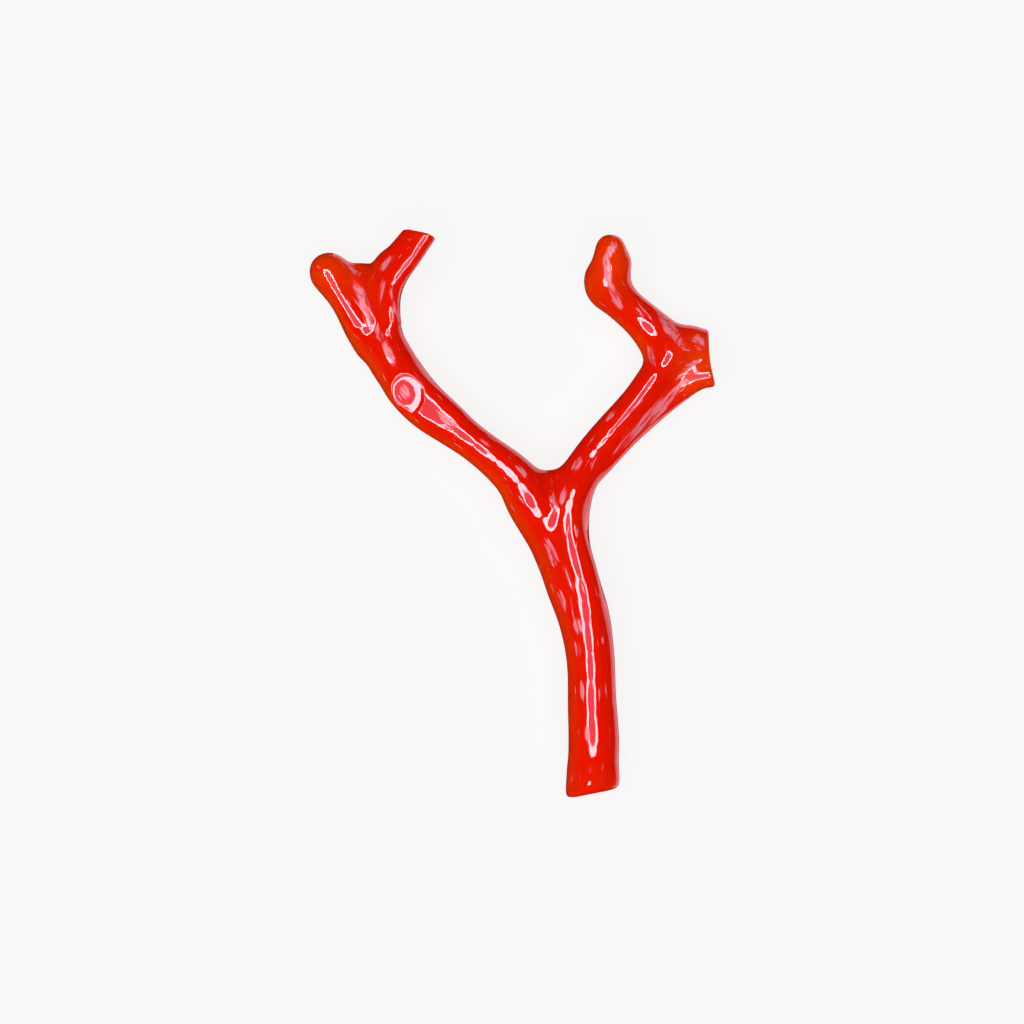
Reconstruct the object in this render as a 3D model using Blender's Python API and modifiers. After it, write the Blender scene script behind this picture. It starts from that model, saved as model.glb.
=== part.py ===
"""A polished branch of red coral, lying on its back on a table.

The coral grew as one piece. It is modelled whole, as limbs that flow into each other, and is then
sawn apart at its main forks, so that each limb is a solid of its own.
Units are metres. +Y runs from the cut base to the twigs, +Z points up from the table.
"""

import math

import bmesh
import bpy
from mathutils import Matrix, Vector
from mathutils.geometry import normal as face_normal

MM = 0.001

# Each limb is a line of stations: across, along, height of the middle, radius. All in millimetres.
STEM = [
    (9.0, -36.0, 2.0, 3.00),
    (9.05, -30.3, 2.7, 2.85),
    (9.4, -27.0, 3.2, 3.00),
    (9.2, -21.5, 3.45, 2.85),
    (9.0, -16.5, 3.6, 2.85),
    (8.2, -11.9, 3.5, 3.05),
    (6.6, -7.2, 3.4, 3.15),
    (5.9, -3.3, 3.4, 3.05),
    (6.2, 0.5, 3.4, 2.85),
    (7.6, 4.0, 3.6, 2.35),
    (9.0, 6.3, 3.2, 2.15),
]
BASE_SIDE = [
    (9.8, -36.0, 2.0, 2.75),
    (9.75, -30.3, 2.7, 2.65),
    (9.5, -25.0, 3.1, 2.60),
]
STEM_RIDGE = [
    (9.1, -19.0, 4.05, 2.40),
    (8.9, -14.0, 4.35, 2.25),
    (8.3, -9.0, 4.75, 2.10),
    (7.2, -5.0, 4.95, 2.05),
    (6.5, -2.0, 5.0, 2.05),
    (6.6, 1.0, 4.8, 1.90),
    (7.5, 3.6, 4.45, 1.80),
]
CROTCH = [
    (4.8, -3.0, 3.0, 2.80),
    (4.7, 1.0, 3.4, 2.40),
    (4.55, 3.1, 3.5, 1.90),
]
LEFT_ARM = [
    (7.0, -9.0, 3.1, 2.80),
    (4.9, -3.3, 3.2, 3.00),
    (2.3, 1.1, 4.0, 3.00),
    (0.2, 4.2, 4.0, 2.50),
    (-3.9, 7.6, 3.6, 2.10),
    (-7.2, 10.1, 3.25, 2.35),
    (-10.5, 12.9, 2.95, 2.70),
    (-13.2, 16.4, 2.6, 2.70),
    (-15.2, 19.8, 1.9, 2.75),
]
ARM_TOP_LOW_SIDE = [
    (-6.6, 9.4, 3.75, 1.90),
    (-9.4, 10.9, 3.85, 1.90),
    (-11.6, 12.8, 3.9, 1.90),
    (-13.1, 14.6, 3.8, 1.90),
]
ARM_TOP_HIGH_SIDE = [
    (-6.2, 9.9, 3.75, 1.90),
    (-8.4, 12.0, 3.85, 1.90),
    (-10.6, 13.9, 3.9, 1.90),
    (-12.1, 15.6, 3.8, 1.90),
]
LEFT_KNOB = [
    (-15.2, 18.8, 2.0, 2.60),
    (-17.0, 21.7, 1.1, 2.60),
    (-19.0, 24.9, 1.6, 2.20),
    (-21.1, 27.7, 1.8, 2.40),
]
KNOB_RIDGE = [
    (-17.3, 20.8, 2.8, 1.60),
    (-19.6, 24.7, 2.8, 1.50),
    (-21.6, 28.0, 2.6, 1.70),
]
LEFT_STUB = [
    (-14.9, 19.2, 1.9, 2.40),
    (-15.1, 22.8, 1.8, 2.25),
    (-14.7, 25.9, 3.1, 2.10),
    (-12.8, 29.3, 3.8, 1.90),
    (-10.8, 31.9, 4.0, 1.75),
    (-9.0, 34.3, 4.1, 1.75),
]
STUB_RIDGE = [
    (-13.6, 21.0, 3.7, 1.10),
    (-14.0, 24.0, 4.0, 1.10),
    (-13.6, 26.4, 4.8, 1.15),
    (-11.5, 29.2, 5.2, 1.15),
    (-9.7, 32.0, 5.3, 1.10),
    (-8.3, 34.2, 5.3, 1.10),
]
WEB = [
    (-15.8, 21.5, 1.3, 2.20),
    (-16.8, 24.8, 1.1, 1.75),
    (-17.3, 27.5, 0.9, 1.50),
]
WEB_SHOULDER = [
    (-15.9, 24.0, 1.8, 2.00),
    (-15.2, 26.6, 2.5, 2.00),
    (-14.2, 28.8, 3.4, 1.60),
]
RIGHT_ARM = [
    (7.6, 4.0, 3.6, 2.35),
    (9.0, 6.3, 3.2, 2.15),
    (10.4, 8.2, 2.9, 2.05),
    (14.0, 12.4, 3.1, 1.90),
    (16.1, 15.2, 3.1, 1.95),
    (17.5, 17.6, 2.9, 1.80),
]
ARM_RIDGE = [
    (9.3, 6.7, 4.3, 1.20),
    (11.0, 8.8, 3.95, 1.20),
    (14.0, 12.3, 4.0, 1.20),
    (16.6, 15.8, 4.05, 1.20),
]
FLANK = [
    (8.8, 5.0, 2.8, 2.00),
    (12.3, 8.6, 2.4, 1.90),
    (15.3, 11.8, 2.2, 1.90),
    (18.4, 15.2, 2.1, 1.80),
]
WING = [
    (6.4, -1.5, 3.6, 2.20),
    (7.4, 3.2, 3.3, 2.15),
    (9.9, 6.7, 2.6, 2.00),
    (14.8, 10.6, 1.9, 1.60),
    (19.4, 14.3, 2.1, 1.55),
    (22.0, 15.8, 2.6, 1.50),
    (25.5, 15.9, 2.7, 1.50),
]
RIGHT_FINGER = [
    (17.5, 16.4, 2.8, 2.10),
    (17.4, 19.4, 1.7, 2.75),
    (15.2, 22.0, 1.8, 2.30),
    (12.9, 24.0, 2.5, 2.20),
    (11.0, 26.2, 3.1, 2.80),
    (11.3, 28.4, 4.1, 2.40),
    (11.3, 30.2, 5.1, 1.85),
]
FINGER_SHOULDER = [
    (11.3, 26.0, 3.2, 2.20),
    (12.05, 28.7, 4.2, 1.80),
]
RIGHT_STUB = [
    (17.2, 17.6, 2.4, 2.80),
    (20.0, 19.3, 2.0, 2.45),
    (22.3, 19.0, 1.5, 2.10),
    (25.5, 18.9, 1.3, 2.05),
]
OPEN_LIMBS = [STEM, BASE_SIDE, LEFT_ARM, LEFT_STUB, STUB_RIDGE, RIGHT_ARM, WING, RIGHT_STUB]
ROUND_TIPPED_LIMBS = [
    STEM_RIDGE,
    CROTCH,
    ARM_TOP_LOW_SIDE,
    ARM_TOP_HIGH_SIDE,
    LEFT_KNOB,
    KNOB_RIDGE,
    ARM_RIDGE,
    WEB,
    WEB_SHOULDER,
    FLANK,
    RIGHT_FINGER,
    FINGER_SHOULDER,
]

STEPS_BETWEEN = 6  # smooth points read from the line between two stations
TIP_STEPS = 5
TUBE_RESOLUTION = 14  # 32 sides

FILLET = 1.0  # millimetres: the hollows where limbs meet are at least this round
FINE_VOXEL = 0.3 * MM  # limbs are fused at this fineness
SETTLE_TURNS = 4
BLEND_TURNS = 9  # rounds of smoothing, which run the limbs into each other
LUMP_SIZE = 5.0 * MM
LUMP_HEIGHT = 0.12 * MM
WHOLE_TRIANGLES = 7600  # of the whole coral, before its cuts add theirs

SLIVER = 0.02 * MM  # corners closer than this are made one

KERF = 0.3 * MM  # a saw cut at a fork
CUTTER_SIDE = 14.0 * MM

# Saw cuts at the forks: across, along and height of the blade's middle, its radius, and the way that
# the limb runs there, in degrees from +X.
FORK_CUTS = {
    "left_arm": (-0.8, 5.0, 4.4, 3.7, 134.0),
    "left_knob": (-20.0, 26.9, 2.0, 3.5, 137.0),
    "left_stub": (-13.6, 28.0, 3.9, 3.6, 56.0),
    "right_arm": (9.2, 5.7, 4.1, 4.2, 49.0),
    "right_finger": (15.4, 21.8, 2.3, 3.6, 131.0),
    "right_stub": (20.0, 17.8, 2.2, 5.0, 4.0),
}

# The middle of each solid, which tells the sawn pieces apart.
NODE_MIDDLES = {
    "stem": (8.0, -13.0),
    "left_arm": (-10.0, 16.5),
    "left_knob": (-21.6, 28.0),
    "left_stub": (-11.8, 30.0),
    "right_arm": (14.0, 13.0),
    "right_finger": (11.7, 27.0),
    "right_stub": (21.8, 17.8),
}

BASE_CUT_AT = (9.2, -32.3, 3.2)
BASE_CUT_FACES = -78.5  # degrees from +X, square to the cut
LEFT_STUB_CUT_AT = (-10.45, 32.15, 5.7)
LEFT_STUB_CUT_FACES = 70.0
LEFT_STUB_CUT_LEAN = -12.0  # degrees that the cut face looks down
RIGHT_STUB_CUT_AT = (22.75, 17.8, 2.3)
RIGHT_STUB_CUT_FACES = 6.5
HOLLOW_RADIUS = 20.0 * MM  # the right stub's broken end is a little hollow

DISH_AT = (-12.1, 13.9, 6.25)
DISH_RADII = (1.0, 1.3, 0.75)
DISH_TURN = 52.0

DEEP_RED = (0.62, 0.008, 0.001)
ORANGE_RED = (0.80, 0.026, 0.001)
NODE_COLOURS = {
    "stem": DEEP_RED,
    "left_arm": DEEP_RED,
    "left_knob": ORANGE_RED,
    "left_stub": DEEP_RED,
    "right_arm": DEEP_RED,
    "right_finger": ORANGE_RED,
    "right_stub": ORANGE_RED,
}
POLISH_ROUGHNESS = 0.08


def clear_scene():
    for obj in list(bpy.data.objects):
        bpy.data.objects.remove(obj)


def make_collection(name):
    collection = bpy.data.collections.new(name)
    bpy.context.scene.collection.children.link(collection)
    return collection


def through_stations(stations):
    """A smooth line through the stations, by the Catmull-Rom rule, which bends the radius too."""
    ends = [stations[0], *stations, stations[-1]]
    line = []
    for before, here, after, beyond in zip(ends, ends[1:], ends[2:], ends[3:]):
        for step in range(STEPS_BETWEEN):
            t = step / STEPS_BETWEEN
            line.append(
                [
                    b + 0.5 * t * (c - a + t * (2 * a - 5 * b + 4 * c - d + t * (3 * (b - c) + d - a)))
                    for a, b, c, d in zip(before, here, after, beyond)
                ]
            )
    line.append(list(stations[-1]))
    return line


def thickened(line):
    """The line with a fillet's width more all round, for the limbs to run into each other."""
    return [[x, y, z, radius + FILLET] for x, y, z, radius in line]


def with_round_tip(line):
    """The line with a half ball at its end: points that run on while the radius closes."""
    end = Vector(line[-1][:3])
    way = (end - Vector(line[-2][:3])).normalized()
    radius = line[-1][3]
    for step in range(1, TIP_STEPS + 1):
        angle = step / (TIP_STEPS + 0.4) * math.pi / 2
        place = end + way * radius * math.sin(angle)
        line.append([*place, radius * math.cos(angle)])
    return line


def limb_mesh(name, line):
    """One limb: a curve whose thickness follows its points' radii, made a closed mesh."""
    curve = bpy.data.curves.new(name, "CURVE")
    curve.dimensions = "3D"
    curve.bevel_depth = MM  # a point's radius is then a number of millimetres
    curve.bevel_resolution = TUBE_RESOLUTION
    curve.use_fill_caps = True
    spline = curve.splines.new("POLY")
    spline.points.add(len(line) - 1)
    for point, (x, y, z, radius) in zip(spline.points, line):
        point.co = (x * MM, y * MM, z * MM, 1.0)
        point.radius = radius
    guide = bpy.data.objects.new(name, curve)
    bpy.context.scene.collection.objects.link(guide)
    graph = bpy.context.evaluated_depsgraph_get()
    mesh = bpy.data.meshes.new_from_object(guide.evaluated_get(graph))
    bpy.data.objects.remove(guide)
    return mesh


def limbs_in_one(collection):
    """All the limbs in one mesh. They still cross each other where they meet."""
    shape = bmesh.new()
    for stations in OPEN_LIMBS:
        shape.from_mesh(limb_mesh("open_limb", thickened(through_stations(stations))))
    for stations in ROUND_TIPPED_LIMBS:
        line = with_round_tip(thickened(through_stations(stations)))
        shape.from_mesh(limb_mesh("tipped_limb", line))
    bmesh.ops.remove_doubles(shape, verts=shape.verts, dist=1e-6)
    mesh = bpy.data.meshes.new("coral")
    shape.to_mesh(mesh)
    shape.free()
    coral = bpy.data.objects.new("coral", mesh)
    collection.objects.link(coral)
    return coral


def facing(degrees, lean=0.0):
    """A unit vector that many degrees round from +X, and that many up from the table."""
    turn, rise = math.radians(degrees), math.radians(lean)
    return Vector((math.cos(turn) * math.cos(rise), math.sin(turn) * math.cos(rise), math.sin(rise)))


def make_cutter(name, collection):
    """The active object as a cutter, which no render or build takes for a part."""
    cutter = bpy.context.active_object
    cutter.name = name
    cutter.hide_render = True
    cutter.display_type = "WIRE"
    for other in list(cutter.users_collection):
        other.objects.unlink(cutter)
    collection.objects.link(cutter)
    return cutter


def block_beyond(name, collection, at, way):
    """A block that takes away everything past a flat cut."""
    middle = Vector(at) * MM + way * CUTTER_SIDE / 2
    turn = way.to_track_quat("Z", "Y").to_euler()
    bpy.ops.mesh.primitive_cube_add(size=CUTTER_SIDE, location=middle, rotation=turn)
    return make_cutter(name, collection)


def drum_beyond(name, collection, at, way):
    """An upright drum that leaves the end that it cuts a little hollow."""
    middle = Vector(at) * MM + way * HOLLOW_RADIUS
    bpy.ops.mesh.primitive_cylinder_add(vertices=96, radius=HOLLOW_RADIUS, depth=CUTTER_SIDE, location=middle)
    return make_cutter(name, collection)


def saw_blade(name, collection, middle, radius, degrees):
    """A thin disc square to a limb, where it leaves its fork."""
    bpy.ops.mesh.primitive_cylinder_add(
        vertices=24,
        radius=radius * MM,
        depth=KERF,
        location=Vector(middle) * MM,
        rotation=facing(degrees).to_track_quat("Z", "Y").to_euler(),
    )
    return make_cutter("blade_" + name, collection)


def dish_ball(collection):
    """A flattened ball that sinks the oval dish into the left arm's face."""
    bpy.ops.mesh.primitive_uv_sphere_add(segments=20, ring_count=12, radius=MM)
    ball = make_cutter("dish_ball", collection)
    turn = Matrix.Rotation(math.radians(DISH_TURN), 4, "Z")
    size = Matrix.Diagonal((*DISH_RADII, 1.0))
    place = Matrix.Translation(Vector(DISH_AT) * MM)
    ball.data.transform(place @ turn @ size)
    return ball


def take_away(coral, name, collection):
    cut = coral.modifiers.new(name, "BOOLEAN")
    cut.operation = "DIFFERENCE"
    cut.solver = "EXACT"
    cut.operand_type = "COLLECTION"
    cut.collection = collection


def fuse(coral, name):
    remesh = coral.modifiers.new(name, "REMESH")
    remesh.mode = "VOXEL"
    remesh.voxel_size = FINE_VOXEL


def soften(coral, name, turns):
    smooth = coral.modifiers.new(name, "SMOOTH")
    smooth.factor = 0.5
    smooth.iterations = turns


def apply_modifiers(coral):
    """The object's mesh becomes what its modifiers make of it."""
    graph = bpy.context.evaluated_depsgraph_get()
    mesh = bpy.data.meshes.new_from_object(coral.evaluated_get(graph))
    coral.modifiers.clear()
    coral.data = mesh
    return mesh


def grow_whole(collection):
    """The limbs run together in one skin, with a rounded rim at the base and low lumps all over."""
    coral = limbs_in_one(collection)
    fuse(coral, "fuse_limbs")
    soften(coral, "settle", SETTLE_TURNS)
    thin = coral.modifiers.new("take_fillet_off", "DISPLACE")
    thin.strength = -FILLET * MM
    thin.mid_level = 0.0
    fuse(coral, "fuse_thinned")
    base_cutters = make_collection("base_cutters")
    block_beyond("base_block", base_cutters, BASE_CUT_AT, facing(BASE_CUT_FACES))
    take_away(coral, "cut_base", base_cutters)
    fuse(coral, "even_out")
    soften(coral, "blend_limbs", BLEND_TURNS)
    lumps = bpy.data.textures.new("lumps", "CLOUDS")
    lumps.noise_scale = LUMP_SIZE
    lumps.noise_depth = 1
    uneven = coral.modifiers.new("low_lumps", "DISPLACE")
    uneven.texture = lumps
    uneven.texture_coords = "LOCAL"
    uneven.strength = LUMP_HEIGHT
    uneven.mid_level = 0.5
    triangles = sum(len(face.vertices) - 2 for face in apply_modifiers(coral).polygons)
    fewer = coral.modifiers.new("fewer_faces", "DECIMATE")
    fewer.ratio = WHOLE_TRIANGLES / triangles
    fewer.use_collapse_triangulate = True
    return coral


def cut_ends(coral):
    """The two clean cuts at the stubs and the dish on the left arm."""
    end_cutters = make_collection("end_cutters")
    left_way = facing(LEFT_STUB_CUT_FACES, LEFT_STUB_CUT_LEAN)
    block_beyond("left_stub_block", end_cutters, LEFT_STUB_CUT_AT, left_way)
    drum_beyond("right_stub_drum", end_cutters, RIGHT_STUB_CUT_AT, facing(RIGHT_STUB_CUT_FACES))
    dish_ball(end_cutters)
    take_away(coral, "cut_ends", end_cutters)


def saw_at_forks(coral):
    """Parts the coral at its forks. The pieces stay in one mesh, with a saw's width between them."""
    blades = make_collection("saw_blades")
    for name, (*middle, radius, degrees) in FORK_CUTS.items():
        saw_blade(name, blades, middle, radius, degrees)
    take_away(coral, "saw_at_forks", blades)
    take_out_slivers(apply_modifiers(coral))


def take_out_slivers(mesh):
    """The cuts leave needle-thin triangles along their edges, which are taken up by their neighbours."""
    shape = bmesh.new()
    shape.from_mesh(mesh)
    bmesh.ops.triangulate(shape, faces=shape.faces)
    bmesh.ops.remove_doubles(shape, verts=shape.verts, dist=SLIVER)
    bmesh.ops.dissolve_degenerate(shape, edges=shape.edges, dist=SLIVER / 2)
    bmesh.ops.triangulate(shape, faces=shape.faces)
    shape.to_mesh(mesh)
    shape.free()


def part_into_nodes(coral, collection):
    """Each loose piece of the sawn coral becomes an object, named for the middle that it lies nearest."""
    bpy.ops.object.select_all(action="DESELECT")
    coral.select_set(True)
    bpy.context.view_layer.objects.active = coral
    bpy.ops.object.mode_set(mode="EDIT")
    bpy.ops.mesh.select_all(action="SELECT")
    bpy.ops.mesh.separate(type="LOOSE")
    bpy.ops.object.mode_set(mode="OBJECT")
    pieces = list(collection.objects)
    for name, middle in NODE_MIDDLES.items():
        wanted = Vector((middle[0] * MM, middle[1] * MM))

        def distance(piece):
            corners = [Vector(corner) for corner in piece.bound_box]
            return ((corners[0] + corners[6]).xy / 2 - wanted).length

        piece = min(pieces, key=distance)
        pieces.remove(piece)
        piece.name = name
        piece.data.name = name
    return list(collection.objects)


def volume_and_middle(shape):
    """Volume and centre of mass of a closed bmesh."""
    volume, middle = 0.0, Vector()
    for face in shape.faces:
        a, b, c = (vert.co for vert in face.verts)
        part = a.dot(b.cross(c)) / 6
        volume += part
        middle += part * (a + b + c) / 4
    return volume, middle / volume


def lay_down(pieces):
    """Turns the coral on to the three points that it comes to rest on, and puts the origin under its box."""
    shape = bmesh.new()
    for piece in pieces:
        shape.from_mesh(piece.data)
    bmesh.ops.triangulate(shape, faces=shape.faces)
    middle = volume_and_middle(shape)[1]
    hull = bmesh.ops.convex_hull(shape, input=shape.verts, use_existing_faces=False)
    for face in [item for item in hull["geom"] if isinstance(item, bmesh.types.BMFace)]:
        a, b, c = (vert.co for vert in face.verts[:3])
        down = face_normal(a, b, c)
        if down.z > 0:
            down = -down
        turns = [(q - p).xy.cross((middle - p).xy) for p, q in ((a, b), (b, c), (c, a))]
        if down.z < -0.5 and (min(turns) > 0 or max(turns) < 0):
            level = down.rotation_difference(Vector((0, 0, -1))).to_matrix().to_4x4()
    shape.free()
    for piece in pieces:
        piece.data.transform(level)
    corners = [vert.co for piece in pieces for vert in piece.data.vertices]
    low = Vector(min(corner[axis] for corner in corners) for axis in range(3))
    high = Vector(max(corner[axis] for corner in corners) for axis in range(3))
    under = Matrix.Translation((-(low.x + high.x) / 2, -(low.y + high.y) / 2, -low.z))
    for piece in pieces:
        piece.data.transform(under)


def polish(piece):
    """The finish of one solid: red, not metal, with a wet gloss."""
    material = bpy.data.materials.new(piece.name + "_coral")
    material.use_nodes = True
    shader = material.node_tree.nodes["Principled BSDF"]
    shader.inputs["Base Color"].default_value = (*NODE_COLOURS[piece.name], 1.0)
    shader.inputs["Metallic"].default_value = 0.0
    shader.inputs["Roughness"].default_value = POLISH_ROUGHNESS
    piece.data.materials.clear()
    piece.data.materials.append(material)
    piece.data.shade_smooth()
    piece.data.set_sharp_from_angle(angle=math.radians(40))


def main():
    clear_scene()
    branch = make_collection("red_coral_branch")
    coral = grow_whole(branch)
    cut_ends(coral)
    saw_at_forks(coral)
    pieces = part_into_nodes(coral, branch)
    lay_down(pieces)
    for piece in pieces:
        polish(piece)


if __name__ == "__main__":
    main()
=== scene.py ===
# %% [markdown]
# # A polished branch of red coral
# Precious red coral grows in the sea as a small stony bush of solid lime. A branch of it is cut
# off, ground smooth and polished until it shines like glass. This lesson gives the plain solids of
# such a branch one unbroken skin, the fine growth lines of the real stone, and a wet red gloss.

# %% Load the plain solids
import math

import bmesh
import bpy
import numpy as np
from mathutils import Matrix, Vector
from mathutils.bvhtree import BVHTree
from mathutils.kdtree import KDTree


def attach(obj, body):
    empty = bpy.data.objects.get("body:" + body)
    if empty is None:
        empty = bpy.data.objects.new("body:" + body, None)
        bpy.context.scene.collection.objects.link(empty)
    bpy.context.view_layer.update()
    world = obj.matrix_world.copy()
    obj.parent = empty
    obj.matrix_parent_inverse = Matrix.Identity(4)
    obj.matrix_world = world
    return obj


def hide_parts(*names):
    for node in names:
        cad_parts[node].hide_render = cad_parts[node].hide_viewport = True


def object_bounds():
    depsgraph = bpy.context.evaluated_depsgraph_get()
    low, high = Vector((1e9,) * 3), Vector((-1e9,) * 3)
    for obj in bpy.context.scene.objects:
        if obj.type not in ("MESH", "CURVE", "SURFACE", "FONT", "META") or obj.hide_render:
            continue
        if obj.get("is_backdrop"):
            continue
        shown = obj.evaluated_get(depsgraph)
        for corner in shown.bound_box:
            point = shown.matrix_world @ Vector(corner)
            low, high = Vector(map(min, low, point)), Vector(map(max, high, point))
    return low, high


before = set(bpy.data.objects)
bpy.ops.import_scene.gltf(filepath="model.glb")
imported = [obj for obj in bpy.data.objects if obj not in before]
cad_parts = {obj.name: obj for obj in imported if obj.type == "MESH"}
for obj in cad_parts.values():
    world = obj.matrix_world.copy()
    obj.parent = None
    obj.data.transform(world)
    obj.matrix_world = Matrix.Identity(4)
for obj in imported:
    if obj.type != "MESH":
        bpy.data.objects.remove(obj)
cad_box = [list(corner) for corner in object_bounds()]
MM = 0.001
print("solids:", ", ".join(sorted(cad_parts)))

# %% [markdown]
# ## Close the saw cuts
# The real branch grew in one piece, but its solids are sawn apart at the forks. A face in a saw
# cut has another solid straight in front of it, so a short ray finds it. Those faces are taken
# out, and the two open rims of each cut are bridged. Filling the cuts by hand would need their
# places written down, and a ray finds them wherever the solids are.

# %% Find the faces in the saw cuts
CUT_REACH = 0.4 * MM  # a little more than a cut is wide
SAME_WAY = 0.97
SAME_PLANE = 0.01 * MM


def closed_solid(node):
    """The node's loose triangles with their corners joined."""
    shape = bmesh.new()
    shape.from_mesh(node.data)
    bmesh.ops.remove_doubles(shape, verts=shape.verts, dist=1e-6)
    shape.normal_update()
    return shape


def faces_towards(shape, tree):
    """The faces of one saw cut and the cut's middle, if the other solid is across one."""
    facing = []
    for face in shape.faces:
        hit, normal, _, _ = tree.ray_cast(face.calc_center_median(), face.normal, CUT_REACH)
        if hit and normal.dot(face.normal) < -SAME_WAY:
            facing.append(face)
    if not facing:
        return [], None
    largest = max(facing, key=lambda face: face.calc_area())
    way, place = largest.normal, largest.verts[0].co
    cut = [
        face
        for face in shape.faces
        if all(abs((vert.co - place).dot(way)) < SAME_PLANE for vert in face.verts)
    ]
    middle = sum((face.calc_center_median() * face.calc_area() for face in cut), Vector())
    return cut, middle / sum(face.calc_area() for face in cut)


solids = {name: closed_solid(node) for name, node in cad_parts.items()}
trees = {name: BVHTree.FromBMesh(shape) for name, shape in solids.items()}
cut_middles = {}
cut_faces = {name: set() for name in solids}
for name, shape in solids.items():
    for other, tree in trees.items():
        if other != name:
            faces, middle = faces_towards(shape, tree)
            cut_faces[name].update(faces)
            if middle:
                cut_middles[name, other] = middle
print("saw cuts:", sorted(pair for pair in cut_middles if pair[0] < pair[1]))

# %% Join the solids across the cuts


def open_rims(shape):
    """The open edges in rings, each with its middle."""
    left = {edge for edge in shape.edges if edge.is_boundary}
    rims = []
    while left:
        ring = [left.pop()]
        for edge in ring:
            for vert in edge.verts:
                more = [other for other in vert.link_edges if other in left]
                left.difference_update(more)
                ring.extend(more)
        middle = sum((vert.co for edge in ring for vert in edge.verts), Vector()) / (2 * len(ring))
        rims.append((ring, middle))
    return rims


whole = bmesh.new()
for name, shape in solids.items():
    bmesh.ops.delete(shape, geom=list(cut_faces[name]), context="FACES")
    opened = bpy.data.meshes.new(name + "_opened")
    shape.to_mesh(opened)
    shape.free()
    whole.from_mesh(opened)
    bpy.data.meshes.remove(opened)
rims = open_rims(whole)
bridged = 0
while rims:
    ring, middle = rims.pop()
    partner = min(rims, key=lambda rim: (rim[1] - middle).length)
    rims.remove(partner)
    bmesh.ops.bridge_loops(whole, edges=ring + partner[0])
    bridged += 1
bmesh.ops.recalc_face_normals(whole, faces=whole.faces)
open_edges = sum(not edge.is_manifold for edge in whole.edges)
print("bridged", bridged, "saw cuts; open edges left:", open_edges)

# %% [markdown]
# ## One even skin
# Wet polish shows every facet, so the skin needs small even faces. A voxel remesh lays a fine grid
# over the whole shape. The facets are then taken out the way a stiff sheet would: each point
# wants to stay where it is, but bending costs effort, and sharp bends cost most. Near a sharp rim,
# such as that of a clean cut, the points are held fast, so the rim stays.

# %% Lay a fine grid over the branch
SKIN_GRID = 0.176 * MM
SHARP_ANGLE = math.radians(50)


def sharp_places(shape):
    """Points along the sharp rims of a shape, for measuring how far off a rim is."""
    places = []
    for edge in shape.edges:
        if edge.is_manifold and edge.calc_face_angle() > SHARP_ANGLE:
            a, b = (vert.co for vert in edge.verts)
            steps = 1 + int((a - b).length / (0.1 * MM))
            places += [a.lerp(b, step / steps) for step in range(steps + 1)]
    return places


rim_places = sharp_places(whole)
rough = bpy.data.meshes.new("rough_branch")
whole.to_mesh(rough)
whole.free()
carrier = bpy.data.objects.new("rough_branch", rough)
bpy.context.scene.collection.objects.link(carrier)
grid = carrier.modifiers.new("fine_grid", "REMESH")
grid.mode = "VOXEL"
grid.voxel_size = SKIN_GRID
evaluated = carrier.evaluated_get(bpy.context.evaluated_depsgraph_get())
skin = bpy.data.meshes.new_from_object(evaluated)
bpy.data.objects.remove(carrier)
points = np.empty(len(skin.vertices) * 3)
skin.vertices.foreach_get("co", points)
points = points.reshape(-1, 3)
print("skin:", len(points), "points,", len(skin.polygons), "faces; rim places:", len(rim_places))

# %% Stiffen the skin until its facets are gone
BEND_LENGTH = 2.6 * MM  # waves shorter than this are taken out
RELAX_TURNS = 140
RIM_WIDTH = 0.45 * MM
RIM_HOLD = 400.0


def neighbour_table(mesh):
    """For each point, the points that an edge joins to it. Unused places hold the point itself."""
    edges = np.empty(len(mesh.edges) * 2, dtype=np.int64)
    mesh.edges.foreach_get("vertices", edges)
    edges = edges.reshape(-1, 2)
    both = np.concatenate([edges, edges[:, ::-1]])
    both = both[np.argsort(both[:, 0], kind="stable")]
    counts = np.bincount(both[:, 0], minlength=len(mesh.vertices))
    starts = np.concatenate([[0], np.cumsum(counts)[:-1]])
    rank = np.arange(len(both)) - starts[both[:, 0]]
    table = np.tile(np.arange(len(mesh.vertices))[:, None], (1, counts.max()))
    table[both[:, 0], rank] = both[:, 1]
    return table


def bend(values):
    """How far each point's value stands off from its neighbours' values."""
    return neighbours.shape[1] * values - values[neighbours].sum(axis=1)


def smoothstep(values, low, high):
    """0 below low, 1 above high, and a soft rise between them."""
    t = np.clip((values - low) / (high - low), 0.0, 1.0)
    return t * t * (3 - 2 * t)


def distance_to(places):
    """How far each point of the skin is from the nearest of some places."""
    nearest = KDTree(len(places))
    for number, place in enumerate(places):
        nearest.insert(place, number)
    nearest.balance()
    return np.array([nearest.find(point)[2] for point in points])


def relax(values, hold, stiffness, turns):
    """Moves the values to where holding on and bending balance, by the conjugate gradient rule."""
    residual = -stiffness * bend(bend(values))
    direction = residual.copy()
    size = (residual**2).sum()
    for _ in range(turns):
        pushed = hold * direction + stiffness * bend(bend(direction))
        step = size / (direction * pushed).sum()
        values += step * direction
        residual -= step * pushed
        next_size = (residual**2).sum()
        direction = residual + next_size / size * direction
        size = next_size


neighbours = neighbour_table(skin)
rim_distance = distance_to(rim_places)
hold = (1 + RIM_HOLD * (1 - smoothstep(rim_distance, 0.0, RIM_WIDTH)))[:, None]
start = points.copy()
relax(points, hold, (BEND_LENGTH / (2 * math.pi * SKIN_GRID)) ** 4, RELAX_TURNS)
moved = np.linalg.norm(points - start, axis=1)
print("relaxed: points moved", round(moved.mean() / MM, 3), "mm on average")

# %% [markdown]
# ## The dish in the left arm
# The left arm has a small flat with an oval dish in it, perhaps where a twig once began. The flat
# is blended into the skin around it. The dish has a flat floor, and its wall is a shallow cone that
# ends where it meets the flat.

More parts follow.
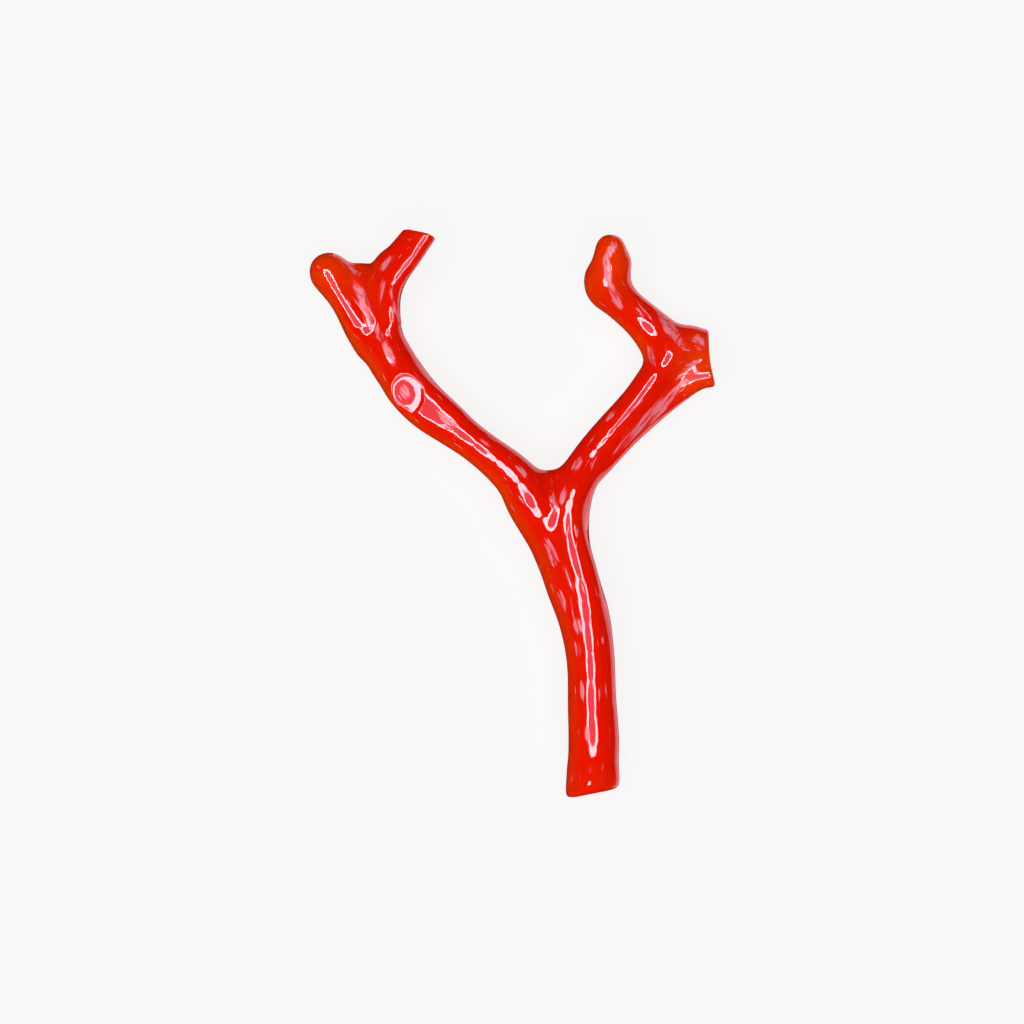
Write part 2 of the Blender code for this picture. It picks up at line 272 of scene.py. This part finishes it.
# %% Grind the dish
DISH_MIDDLE = (-12.3, 13.85)  # across and along, in millimetres
DISH_TURN = 110  # degrees from +X
DISH_FLOOR = (1.35, 1.10)  # half length and half width, in millimetres
DISH_DEPTH = 0.06 * MM
FLAT_REACH = (1.35, 2.1)  # where the flat begins to blend, and where it ends, in millimetres
DISH_LEAN = (0.6, -2.4)  # degrees towards +X and +Y
WALL_SLOPE = math.radians(10.5)
UPPER_FACE = 4 * MM  # the points above this height are on the arm's upper face
FLAT_FROM = 1.4 * MM  # the flat lies as high as the skin does this far from the middle
FLAT_BAND = 0.2 * MM


def oval_distance(middle, turn, ratio):
    """How far each point is from a middle, seen from above; lengths along the turn count less."""
    turned = math.radians(turn)
    off = points[:, :2] - np.array(middle) * MM
    lengthwise = off[:, 0] * math.cos(turned) + off[:, 1] * math.sin(turned)
    crosswise = off[:, 1] * math.cos(turned) - off[:, 0] * math.sin(turned)
    return np.hypot(lengthwise / ratio, crosswise)


from_dish = oval_distance(DISH_MIDDLE, DISH_TURN, DISH_FLOOR[0] / DISH_FLOOR[1])
face_up = points[:, 2] > UPPER_FACE
around = face_up & (np.abs(from_dish - FLAT_FROM) < FLAT_BAND)
slopes = -np.tan(np.radians(DISH_LEAN))
rise = (points[:, :2] - np.array(DISH_MIDDLE) * MM) @ slopes
flat = (points[:, 2] - rise)[around].mean() + rise
share = face_up * (1 - smoothstep(from_dish, *(reach * MM for reach in FLAT_REACH)))
points[:, 2] += (flat - points[:, 2]) * share
cone = flat - DISH_DEPTH + np.maximum(from_dish - DISH_FLOOR[1] * MM, 0.0) * math.tan(WALL_SLOPE)
ground = (share > 0) & (points[:, 2] > cone)
print("dish:", int(ground.sum()), "points ground down by up to", round(DISH_DEPTH / MM, 3), "mm")
points[ground, 2] = cone[ground]

# %% [markdown]
# ## The way the coral grew
# Fine growth lines run from the base to the tips and follow each limb as it bends. To draw them,
# every point of the skin needs to know how far up the branch it is, and where around its limb. The
# middle line of each limb is measured from the solids by slicing them, and strung together from the
# base to each tip.

# %% Measure the middle lines of the limbs
SLICE_GAP = 1.5 * MM
END_DEPTH = 0.8 * MM
WIDE_SLICES = {"stem": 6, "left_arm": 3, "right_arm": 2}  # left out before a fork
LINE_STEP = 0.5 * MM
FIRST_SOFTENING = 2  # rounds before the points are spaced evenly
LAST_SOFTENING = 12


def node_points(name):
    """The corners of one solid."""
    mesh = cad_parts[name].data
    places = np.empty(len(mesh.vertices) * 3)
    mesh.vertices.foreach_get("co", places)
    return places.reshape(-1, 3)


def sliced_line(name, start, end):
    """The middles of slices across a solid, from one end to the other."""
    places = node_points(name)
    start, end = np.array(start), np.array(end)
    way = (end - start) / np.linalg.norm(end - start)
    along = (places - start) @ way
    line = [start]
    for middle in np.arange(SLICE_GAP, np.linalg.norm(end - start) - SLICE_GAP / 2, SLICE_GAP):
        near = places[np.abs(along - middle) < SLICE_GAP / 2]
        line.append((near.min(axis=0) + near.max(axis=0)) / 2)
    line.append(end)
    return line


def far_end(name, start):
    """The middle of the end of a solid that is farthest from a place."""
    places = node_points(name)
    far = np.linalg.norm(places - np.array(start), axis=1)
    return places[far > far.max() - END_DEPTH].mean(axis=0)


def halfway(first, second):
    return (np.array(first) + np.array(second)) / 2


def line_to_fork(name, start, end):
    """The middle line of a limb, without the slices at its fork that are too wide."""
    return sliced_line(name, start, end)[: -WIDE_SLICES[name]]


arm_cuts = {arm: cut_middles["stem", arm] for arm in ("left_arm", "right_arm")}
fork = halfway(*arm_cuts.values())
stem_line = line_to_fork("stem", far_end("stem", fork), fork)
tips, growth_lines = {}, {}
for arm, twigs in (
    ("left_arm", ("left_knob", "left_stub")),
    ("right_arm", ("right_finger", "right_stub")),
):
    twig_cuts = [cut_middles[arm, twig] for twig in twigs]
    arm_line = line_to_fork(arm, arm_cuts[arm], halfway(*twig_cuts))
    for twig, cut in zip(twigs, twig_cuts):
        tips[twig] = far_end(twig, cut)
        growth_lines[twig] = stem_line + arm_line + sliced_line(twig, cut, tips[twig])


def soften(line, rounds):
    """Moves each point of a line but its ends towards its neighbours."""
    for _ in range(rounds):
        line[1:-1] = (line[:-2] + 2 * line[1:-1] + line[2:]) / 4


def evened(line):
    """A soft line through the middles, with a point at every step."""
    line = np.array(line)
    soften(line, FIRST_SOFTENING)
    lengths = np.concatenate([[0], np.cumsum(np.linalg.norm(np.diff(line, axis=0), axis=1))])
    at = np.linspace(0, lengths[-1], int(lengths[-1] / LINE_STEP))
    line = np.stack([np.interp(at, lengths, line[:, axis]) for axis in range(3)], axis=1)
    soften(line, LAST_SOFTENING)
    return line, at


growth_lines = {name: evened(line) for name, line in growth_lines.items()}
for name, (line, at) in growth_lines.items():
    print("growth line to", name, "is", round(at[-1] / MM, 1), "mm long")

# %% Tell each point its place along and around its limb
GRAIN_SOFTENING = 5  # rounds of evening out the small jumps from one point of a line to the next
SAME_PLACE = 0.3 * MM  # two lines agree about a point if their places for it are this close
CLEAR_LEAD = (0.05 * MM, 0.7 * MM)  # where they don't: how much nearer its own line must be


def place_on_line(line, at):
    """Each point's distance from the line, and its place along, beside and above the line."""
    distance = np.full(len(points), np.inf)
    nearest = np.zeros(len(points), dtype=np.int64)
    for number, place in enumerate(line):
        away = ((points - place) ** 2).sum(axis=1)
        closer = away < distance
        distance[closer] = away[closer]
        nearest[closer] = number
    tangents = np.gradient(line, axis=0)
    tangents /= np.linalg.norm(tangents, axis=1)[:, None]
    beside = np.cross(tangents, [0.0, 0.0, 1.0])
    beside /= np.linalg.norm(beside, axis=1)[:, None]
    above = np.cross(beside, tangents)
    off = points - line[nearest]
    along = at[nearest] + (off * tangents[nearest]).sum(axis=1)
    sideways = (off * beside[nearest]).sum(axis=1)
    upwards = (off * above[nearest]).sum(axis=1)
    return np.sqrt(distance), np.stack([along, sideways, upwards], axis=1)


offs, places = zip(*(place_on_line(line, at) for line, at in growth_lines.values()))
offs, places = np.array(offs), np.array(places)
owner = offs.argmin(axis=0)
everyone = np.arange(len(points))
grain = places[owner, everyone]
fork_calm = np.ones(len(points))
for other in range(len(offs)):
    elsewhere = np.linalg.norm(places[other] - grain, axis=1) > SAME_PLACE
    lead = smoothstep(offs[other] - offs[owner, everyone], *CLEAR_LEAD)
    fork_calm = np.where(elsewhere, np.minimum(fork_calm, lead), fork_calm)
for _ in range(GRAIN_SOFTENING):
    grain = grain[neighbours].mean(axis=1)
print("grain: along 0 to", round(grain[:, 0].max() / MM, 1), "mm")

# %% [markdown]
# ## Where the coral turns orange, and where light is painted
# The colour is a deep blood red in the thick parts and turns orange near a tip, where the stone is
# thin, and at the base. The flanks that face left are painted orange too: painted light, as if lit
# from that side. A number on each point, from 0 to 1, says how orange it is, and the material mixes
# its two reds by it.

# %% Mark the orange places and the painted light on the left flanks
TIP_WARMTH = {  # how orange a tip is, and how far the colour reaches in from it, in millimetres
    "left_knob": (0.85, 9.0),
    "left_stub": (0.35, 4.0),
    "right_finger": (0.80, 13.0),
    "right_stub": (1.00, 8.0),
}
BASE_WARMTH = (0.30, 6.0)
# Painted light: the flanks that face left are painted orange, as if light fell on them from that
# side.
LIT_FLANK_ORANGE = (0.60, 0.95)  # of the low edge on the left: of the stem, and of the arms above it
STEM_LENGTH = (26.0, 38.0)  # where the stem turns into the arms, in millimetres from the base
PAINTED_LIGHT_FROM = (-0.92, -0.38, 0.0)
LIT_FLANK_TURN = (0.25, 0.95)  # how far a face must look left for the orange to begin, and to be full
orange_and_lit_flank = BASE_WARMTH[0] * (1 - smoothstep(grain[:, 0], 0.0, BASE_WARMTH[1] * MM))
for name, (amount, reach) in TIP_WARMTH.items():
    far = np.linalg.norm(points - tips[name], axis=1)
    orange_and_lit_flank = np.maximum(orange_and_lit_flank, amount * (1 - smoothstep(far, 0.0, reach * MM)))
normals = np.empty(len(skin.vertices) * 3)
skin.vertices.foreach_set("co", points.ravel())
skin.update()
skin.vertices.foreach_get("normal", normals)
normals = normals.reshape(-1, 3)
# Painted light: how far each face looks towards the side the light is painted from.
facing_painted_light = normals @ np.array(PAINTED_LIGHT_FROM)
up_the_arms = smoothstep(grain[:, 0], *(length * MM for length in STEM_LENGTH))
painted_flank_orange = LIT_FLANK_ORANGE[0] + (LIT_FLANK_ORANGE[1] - LIT_FLANK_ORANGE[0]) * up_the_arms
orange_and_lit_flank = np.maximum(orange_and_lit_flank, painted_flank_orange * smoothstep(facing_painted_light, *LIT_FLANK_TURN))
print("orange points:", int((orange_and_lit_flank > 0.3).sum()))

# %% [markdown]
# ## Where the polish stays satin
# The wheel slides over hollows and the flanks of ridges, so there the growth lines show. Each
# spot is given by its middle, its half length and half width, and how it is turned. On the real
# thing such spots lie where a limb bends or two limbs meet.

# %% Mark the satin spots
SATIN_SPOTS = (  # across, along, half length, half width in millimetres; turn in degrees from +X
    (4.4, -4.4, 2.2, 0.60, 110),
    (6.6, -7.4, 2.1, 0.50, 110),
    (5.7, -10.0, 1.4, 0.45, 106),
    (6.9, -10.7, 1.8, 0.15, 96),
    (7.5, -12.9, 1.2, 0.50, 103),
    (7.6, -15.6, 1.1, 0.40, 98),
    (8.0, -20.0, 1.3, 0.25, 92),
    (8.6, -25.3, 1.0, 0.35, 92),
    (9.0, -29.4, 0.6, 0.30, 90),
    (10.4, -14.6, 0.4, 0.20, 90),
    (7.3, -1.9, 0.8, 0.20, 105),
    (1.1, 4.8, 1.1, 0.50, 124),
    (1.2, 1.7, 1.1, 0.42, 115),
    (4.7, 1.6, 1.4, 0.45, 108),
    (5.9, 2.2, 1.2, 0.38, 75),
    (7.5, 5.7, 1.2, 0.50, 62),
    (-17.1, 24.4, 2.7, 0.80, 114),
    (-18.3, 28.1, 1.1, 0.40, 140),
    (-15.0, 25.4, 2.0, 0.40, 80),
    (-14.2, 28.8, 1.6, 0.45, 45),
    (-13.4, 23.6, 2.6, 0.25, 105),
    (-14.6, 19.3, 2.9, 0.50, 116),
    (-12.3, 13.9, 0.9, 0.70, 110),
    (-7.4, 10.7, 1.7, 0.50, 135),
    (-3.0, 8.0, 1.0, 0.30, 135),
    (16.2, 11.5, 6.0, 0.78, 45),
    (11.3, 11.2, 0.9, 0.35, 50),
    (20.2, 16.8, 1.8, 0.45, 35),
    (18.2, 21.1, 3.0, 0.65, 130),
    (21.5, 19.6, 1.2, 0.75, 120),
    (15.9, 18.2, 1.1, 0.55, 100),
    (11.8, 24.9, 1.9, 0.65, 118),
    (10.9, 27.8, 2.0, 0.55, 98),
    (11.5, 30.4, 1.4, 0.55, 66),
    (14.8, 23.0, 1.0, 0.50, 130),
)
SPOT_FADE = (0.45, 1.35)  # where a spot begins to fade and where it ends, in half widths
# Besides making the gloss satin, the spots decide where pink painted sheen is mixed into the
# colour.
satin = np.zeros(len(points))
for across, along, length, width, turn in SATIN_SPOTS:
    off = oval_distance((across, along), turn, length / width) / (width * MM)
    spot = (1 - smoothstep(off, *SPOT_FADE)) * (normals[:, 2] > 0)
    satin = np.maximum(satin, spot)
print("satin share of the skin:", round(float((satin > 0.5).mean()), 3))

# %% Give the skin its points and marks
for name, kind, values in (
    ("grain", "FLOAT_VECTOR", grain),
    ("fork_calm", "FLOAT", fork_calm),
    ("orange_and_lit_flank", "FLOAT", orange_and_lit_flank),
    ("satin", "FLOAT", satin),
):
    mark = skin.attributes.new(name, kind, "POINT")
    mark.data.foreach_set("vector" if kind == "FLOAT_VECTOR" else "value", values.ravel())
skin.shade_smooth()
skin.update()

# %% [markdown]
# ## Write sums as sums
# Node trees are easier to read when their maths looks like maths. A small class wraps one
# socket, so that plus, minus and times on it add the Math nodes themselves.

# %% A socket that can be reckoned with


class Wire:
    """One output of a node, which plus, minus and times turn into more nodes."""

    def __init__(self, tree, socket):
        self.tree = tree
        self.socket = socket

    def maths(self, operation, *values):
        return self.tree.node("ShaderNodeMath", {"operation": operation}, dict(enumerate(values)))

    def __add__(self, other):
        return self.maths("ADD", self, other)

    def __sub__(self, other):
        return self.maths("SUBTRACT", self, other)

    def __mul__(self, other):
        return self.maths("MULTIPLY", self, other)

    def above(self, low, high):
        """0 below low, 1 above high, and a soft rise between them."""
        settings = {"interpolation_type": "SMOOTHSTEP"}
        values = {"Value": self, "From Min": low, "From Max": high}
        return self.tree.node("ShaderNodeMapRange", settings, values)


class Tree:
    """A node tree that is written as a list of its nodes."""

    def __init__(self, nodes_of):
        self.nodes = nodes_of.nodes
        self.links = nodes_of.links

    def node(self, kind, settings=None, values=None, output=None):
        """Adds a node: its settings first, then what its sockets hold or are joined to."""
        new = self.nodes.new(kind)
        for name, value in (settings or {}).items():
            setattr(new, name, value)
        for name, value in (values or {}).items():
            socket = new.inputs[name] if isinstance(name, int) else self.named(new.inputs, name)
            if isinstance(value, Wire):
                self.links.new(value.socket, socket)
            else:
                socket.default_value = value
        if not new.outputs:
            return new
        return Wire(self, self.named(new.outputs, output) if output else self.shown(new.outputs))

    def named(self, sockets, name):
        return next(socket for socket in sockets if socket.name == name and socket.enabled)

    def shown(self, sockets):
        return next(socket for socket in sockets if socket.enabled)

    def scaled(self, vector, factors):
        """A vector with each of its parts multiplied by its own factor."""
        return self.node("ShaderNodeVectorMath", {"operation": "MULTIPLY"}, {0: vector, 1: factors})

    def noise(self, vector, scale, detail):
        values = {"Vector": vector, "Scale": scale, "Detail": detail}
        return self.node("ShaderNodeTexNoise", None, values, "Fac")

    def mix(self, factor, first, second):
        values = {"Factor": factor, "A": first, "B": second}
        return self.node("ShaderNodeMix", {"data_type": "RGBA"}, values)


# %% [markdown]
# ## Red coral, polished
# Polished coral is smooth to the touch, yet it keeps the traces of its growth: fine lines, which
# run along the limbs and show in patches where the wheel didn't reach the full depth. There the
# gloss turns satin and the lines are raised a little. The pink hatching that light makes on them is
# painted into the colour: a painted sheen, mixed towards pale pink over the lines and the satin
# patches. Noise that is stretched along the limbs makes such lines. It reads the skin's own marks,
# so the lines bend with the limbs.

# %% Mix the coral material
DEEP_RED = (0.88, 0.0105, 0.0003, 1.0)
ORANGE_RED = (0.92, 0.052, 0.0010, 1.0)
# Painted sheen: the pink that light spreads over the growth lines, mixed into the colour.
PAINTED_SHEEN_PINK = (0.98, 0.31, 0.38, 1.0)
GLOSS = 0.045
SATIN = 0.38
LINE_HEIGHT = 0.015 * MM
STONE = {  # light goes a little way into the stone
    "Subsurface Weight": 0.75,
    "Subsurface Radius": (1.0, 0.12, 0.05),
    "Subsurface Scale": 1.8 * MM,
    "IOR": 1.55,
}
CLOUDS = (160.0, 3.0)  # per metre, and how detailed they are
CLOUDS_IN_WARMTH = 0.4
LINES = (380.0, 3700.0, 3700.0)  # noise per metre along, beside and above the middle line
LINE_DETAIL = 0.5
STREAKS = (300.0, 1500.0, 1500.0)
STREAKS_IN_LINES = 0.4
STREAKS_IN_HAZE = 0.5
SATIN_SPOT_SHARE = 0.31
CALM_SHARE = 0.03
LINE_RISE = (0.77, 0.90)
HAZE_RISE = (0.62, 0.95)
# How much pink painted sheen the lines and the satin haze mix into the colour.
SHEEN_ON_LINES = 0.62
SHEEN_IN_HAZE = 0.15


def marked(tree, name, output):
    return tree.node("ShaderNodeAttribute", {"attribute_name": name}, output=output)


def coral_material():
    material = bpy.data.materials.new("polished_red_coral")
    material.use_nodes = True
    tree = Tree(material.node_tree)
    shader = tree.nodes["Principled BSDF"]
    grain = marked(tree, "grain", "Vector")
    calm = marked(tree, "fork_calm", "Fac")
    orange_and_painted_light = marked(tree, "orange_and_lit_flank", "Fac")
    satin_spots_and_sheen = marked(tree, "satin", "Fac")
    place = tree.node("ShaderNodeTexCoord", output="Object")

    cloud = tree.noise(place, *CLOUDS)
    orange_and_painted_light = (orange_and_painted_light + (cloud - 0.5) * CLOUDS_IN_WARMTH).above(0.0, 1.0)
    colour = tree.mix(orange_and_painted_light, DEEP_RED, ORANGE_RED)

    lines = tree.noise(tree.scaled(grain, LINES), 1.0, LINE_DETAIL)
    streaks = tree.noise(tree.scaled(grain, STREAKS), 1.0, 0.0)
    spread = satin_spots_and_sheen * SATIN_SPOT_SHARE + (streaks - 0.5) * STREAKS_IN_HAZE + calm * CALM_SHARE
    drawn = lines + satin_spots_and_sheen * SATIN_SPOT_SHARE + (streaks - 0.5) * STREAKS_IN_LINES + calm * CALM_SHARE
    lines_and_painted_sheen = drawn.above(*LINE_RISE)
    satin_and_painted_sheen = (spread + 0.5).above(*HAZE_RISE)
    relief = {"Strength": 1.0, "Distance": LINE_HEIGHT, "Height": lines_and_painted_sheen}
    surface = {
        # Painted sheen: the colour turns pale pink on the lines and in the satin haze.
        "Base Color": tree.mix(lines_and_painted_sheen * SHEEN_ON_LINES + satin_and_painted_sheen * SHEEN_IN_HAZE, colour, PAINTED_SHEEN_PINK),
        "Roughness": satin_and_painted_sheen * (SATIN - GLOSS) + GLOSS,
        "Normal": tree.node("ShaderNodeBump", None, relief),
    }
    for name, value in STONE.items():
        shader.inputs[name].default_value = value
    for name, wire in surface.items():
        tree.links.new(wire.socket, shader.inputs[name])
    return material


coral = coral_material()

# %% [markdown]
# ## Uneven polish
# A polished branch isn't a row of tubes: the wheel leaves low waves, which make the
# reflections waver. A Geometry Nodes tree moves each point of the skin a few hundredths of a
# millimetre along its normal, by a noise that is stretched along the limb. Done with nodes, the
# waves have sizes that can be changed afterwards.

# %% Build the tree that makes the skin uneven
WAVE_SIZES = {  # socket name: its value
    "Long Waves per Metre": 120.0,
    "Cross Waves per Metre": 260.0,
    "Wave Height": 0.035 * MM,
}


def uneven_tree():
    group = bpy.data.node_groups.new("uneven_polish", "GeometryNodeTree")
    group.interface.new_socket("Geometry", in_out="INPUT", socket_type="NodeSocketGeometry")
    for name in WAVE_SIZES:
        group.interface.new_socket(name, in_out="INPUT", socket_type="NodeSocketFloat")
    group.interface.new_socket("Finish", in_out="INPUT", socket_type="NodeSocketMaterial")
    group.interface.new_socket("Geometry", in_out="OUTPUT", socket_type="NodeSocketGeometry")
    tree = Tree(group)
    given = group.nodes.new("NodeGroupInput")
    sizes = {name: Wire(tree, given.outputs[name]) for name in WAVE_SIZES}
    reader = "GeometryNodeInputNamedAttribute"
    grain, calm = (
        tree.node(reader, {"data_type": kind}, {"Name": name}, "Attribute")
        for name, kind in (("grain", "FLOAT_VECTOR"), ("fork_calm", "FLOAT"))
    )
    lengthwise, across = sizes["Long Waves per Metre"], sizes["Cross Waves per Metre"]
    factors = tree.node("ShaderNodeCombineXYZ", None, {"X": lengthwise, "Y": across, "Z": across})
    waves = tree.noise(tree.scaled(grain, factors), 1.0, 0.0)
    height = (waves - 0.5) * sizes["Wave Height"] * calm
    normal = tree.node("GeometryNodeInputNormal", output="Normal")
    scaling = {"Vector": normal, "Scale": height}
    offset = tree.node("ShaderNodeVectorMath", {"operation": "SCALE"}, scaling)
    skin_in, finish = (Wire(tree, given.outputs[name]) for name in ("Geometry", "Finish"))
    moved = tree.node("GeometryNodeSetPosition", None, {"Geometry": skin_in, "Offset": offset})
    real = tree.node("GeometryNodeRealizeInstances", None, {"Geometry": moved})
    finished = tree.node("GeometryNodeSetMaterial", None, {"Geometry": real, "Material": finish})
    tree.node("NodeGroupOutput", None, {"Geometry": finished})
    return group


# %% Make the branch
carrier = bpy.data.objects.new("carrier", skin)
bpy.context.scene.collection.objects.link(carrier)
waves = carrier.modifiers.new("uneven_polish", "NODES")
waves.node_group = uneven_tree()
sockets = waves.node_group.interface.items_tree
keys = {item.name: item.identifier for item in sockets if item.in_out == "INPUT"}
for name, value in WAVE_SIZES.items():
    waves[keys[name]] = value
waves[keys["Finish"]] = coral
evaluated = carrier.evaluated_get(bpy.context.evaluated_depsgraph_get())
branch_mesh = bpy.data.meshes.new_from_object(evaluated)
bpy.data.objects.remove(carrier)
places = np.empty(len(branch_mesh.vertices) * 3)
branch_mesh.vertices.foreach_get("co", places)
places = np.clip(places.reshape(-1, 3), *cad_box)
branch_mesh.vertices.foreach_set("co", places.ravel())
branch = bpy.data.objects.new("coral_branch", branch_mesh)
bpy.context.scene.collection.objects.link(branch)
branch_mesh.shade_smooth()
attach(branch, "root")
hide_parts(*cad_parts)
print("branch:", sum(len(face.vertices) - 2 for face in branch_mesh.polygons), "triangles")

# %% [markdown]
# ## Table, lights and camera
# The branch lies on a white table that glows, as a photographer's light table does, so it has
# almost no shadow. A ring of light hangs above it: on the round limbs it becomes the long thin
# loops that show how smooth they are. Gloss is told not to see the table, which no real studio
# can do. So the limbs' right flanks show a band of a pink card that stands on the right, below the
# table's level, and the left flanks stay dark red.

# %% Lay the table
TABLE_SIDE = 3.0
TABLE = {  # a dull sheet that glows by itself
    "Base Color": (0.12, 0.12, 0.12, 1.0),
    "Roughness": 1.0,
    "Specular IOR Level": 0.0,
    "Emission Color": (1.0, 1.0, 1.0, 1.0),
    "Emission Strength": 0.845,
}


def glowing(name, strength, colour=(1.0, 1.0, 1.0)):
    material = bpy.data.materials.new(name)
    material.use_nodes = True
    material.node_tree.nodes.clear()
    tree = Tree(material.node_tree)
    glow = tree.node("ShaderNodeEmission", None, {"Color": (*colour, 1.0), "Strength": strength})
    tree.node("ShaderNodeOutputMaterial", None, {"Surface": glow})
    return material


def staged(name, corners, faces, material):
    """Puts a sheet with the given corners on the stage."""
    mesh = bpy.data.meshes.new(name)
    mesh.from_pydata(corners, [], faces)
    mesh.materials.append(material)
    sheet = bpy.data.objects.new(name, mesh)
    bpy.context.scene.collection.objects.link(sheet)
    sheet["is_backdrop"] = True
    return sheet


white = bpy.data.materials.new("white_table")
white.use_nodes = True
white_shader = white.node_tree.nodes["Principled BSDF"]
for name, value in TABLE.items():
    white_shader.inputs[name].default_value = value
side = TABLE_SIDE / 2
corners = [(-side, -side, 0), (side, -side, 0), (side, side, 0), (-side, side, 0)]
table = staged("table", corners, [(0, 1, 2, 3)], white)
table.visible_glossy = False

# %% Hang the ring of light
RING_HEIGHT = 0.45
RING_LEAN = (-2.3, -0.8)  # degrees towards +X and +Y
RING_INNER = 14.6  # degrees from the ring's middle, seen from the branch
RING_OUTER = 21.4
RING_SPOTS = 128  # round its edge
RING_GLOW = 17.0
RING_COLOUR = (1.0, 0.88, 1.0)
HAZE_INNER = 0.01
HAZE_GLOW = 1.5
HAZE_COLOUR = (1.0, 0.62, 0.95)


def leaning(across, along):
    """A turn that makes what points up lean so many degrees towards +X and +Y."""
    way = Vector((math.tan(math.radians(across)), math.tan(math.radians(along)), 1.0))
    return Vector((0.0, 0.0, 1.0)).rotation_difference(way)


def hang_ring(name, inner, outer, material):
    """A flat ring that faces down, from one angle to another as seen from the branch."""
    spots = RING_SPOTS
    turned = leaning(*RING_LEAN)
    corners = []
    for angle in (inner, outer):
        reach = RING_HEIGHT * math.tan(math.radians(angle))
        for spot in range(spots):
            turn = 2 * math.pi * spot / spots
            place = Vector((reach * math.cos(turn), reach * math.sin(turn), RING_HEIGHT))
            corners.append(turned @ place)
    faces = [(a, (a + 1) % spots, spots + (a + 1) % spots, spots + a) for a in range(spots)]
    ring = staged(name, corners, faces, material)
    ring.visible_camera = False
    ring.visible_diffuse = False


hang_ring("ring_light", RING_INNER, RING_OUTER, glowing("ring_light", RING_GLOW, RING_COLOUR))
hang_ring("ring_haze", HAZE_INNER, RING_INNER, glowing("ring_haze", HAZE_GLOW, HAZE_COLOUR))

# %% Stand the card and hang the soft light
CARD_AZIMUTHS = (-50, 85)  # degrees from +X
CARD_ELEVATIONS = (-65, -22)  # degrees, so it is all below the table's level
CARD_STEPS = 24
CARD_GLOW = 1.7
CARD_COLOUR = (1.0, 0.52, 0.60)
CARD_REACH = 0.6
FILL_GLOW = 3.05
FILL_MIDDLE = (-0.15, -0.2, 1.2)
FILL_SIDE = 1.7


def stand_card(name):
    """A piece of a ball's shell around the branch, which only reflections see."""
    first, last = CARD_AZIMUTHS
    corners = []
    for elevation in CARD_ELEVATIONS:
        up = math.radians(elevation)
        for step in range(CARD_STEPS + 1):
            turn = math.radians(first + (last - first) * step / CARD_STEPS)
            flat = CARD_REACH * math.cos(up)
            height = CARD_REACH * math.sin(up)
            corners.append((flat * math.cos(turn), flat * math.sin(turn), height))
    faces = [(a, a + 1, CARD_STEPS + 2 + a, CARD_STEPS + 1 + a) for a in range(CARD_STEPS)]
    card = staged(name, corners, faces, glowing(name, CARD_GLOW, CARD_COLOUR))
    card.visible_camera = False
    card.visible_diffuse = False
    card.visible_shadow = False


stand_card("edge_card")
ways = ((-1, -1), (1, -1), (1, 1), (-1, 1))
x, y, z = FILL_MIDDLE
corners = [(x + u * FILL_SIDE / 2, y + v * FILL_SIDE / 2, z) for u, v in ways]
fill = staged("soft_light", corners, [(0, 1, 2, 3)], glowing("soft_light", FILL_GLOW))
fill.visible_camera = False
fill.visible_glossy = False

# %% Set up the camera
PHOTO_WIDTH = 117.8 * MM  # what the picture spans, at the branch
LENS = 180.0
SENSOR = 36.0
VIEW_LEAN = (0.73, -0.84)  # degrees towards +X and +Y: the camera looks almost straight down
AIM = (-0.01, 0.19, 4.4)  # millimetres
DARK = (0.01, 0.01, 0.01, 1.0)
lens = bpy.data.cameras.new("camera")
lens.lens = LENS
lens.sensor_width = SENSOR
camera = bpy.data.objects.new("camera", lens)
view = leaning(*VIEW_LEAN)
camera.location = Vector(AIM) * MM + view @ Vector((0.0, 0.0, PHOTO_WIDTH * LENS / SENSOR))
camera.rotation_euler = view.to_euler()
bpy.context.scene.collection.objects.link(camera)
bpy.context.scene.camera = camera

world = bpy.data.worlds.new("dark_room")
bpy.context.scene.world = world
world.use_nodes = True
world.node_tree.nodes["Background"].inputs["Color"].default_value = DARK
bpy.context.scene.view_settings.view_transform = "Standard"

# %% Write down the sizes and finish
visual_box = [list(corner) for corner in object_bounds()]
for name, box in (("CAD", cad_box), ("visual", visual_box)):
    print(name, "box in mm:", [[round(value / MM, 2) for value in corner] for corner in box])
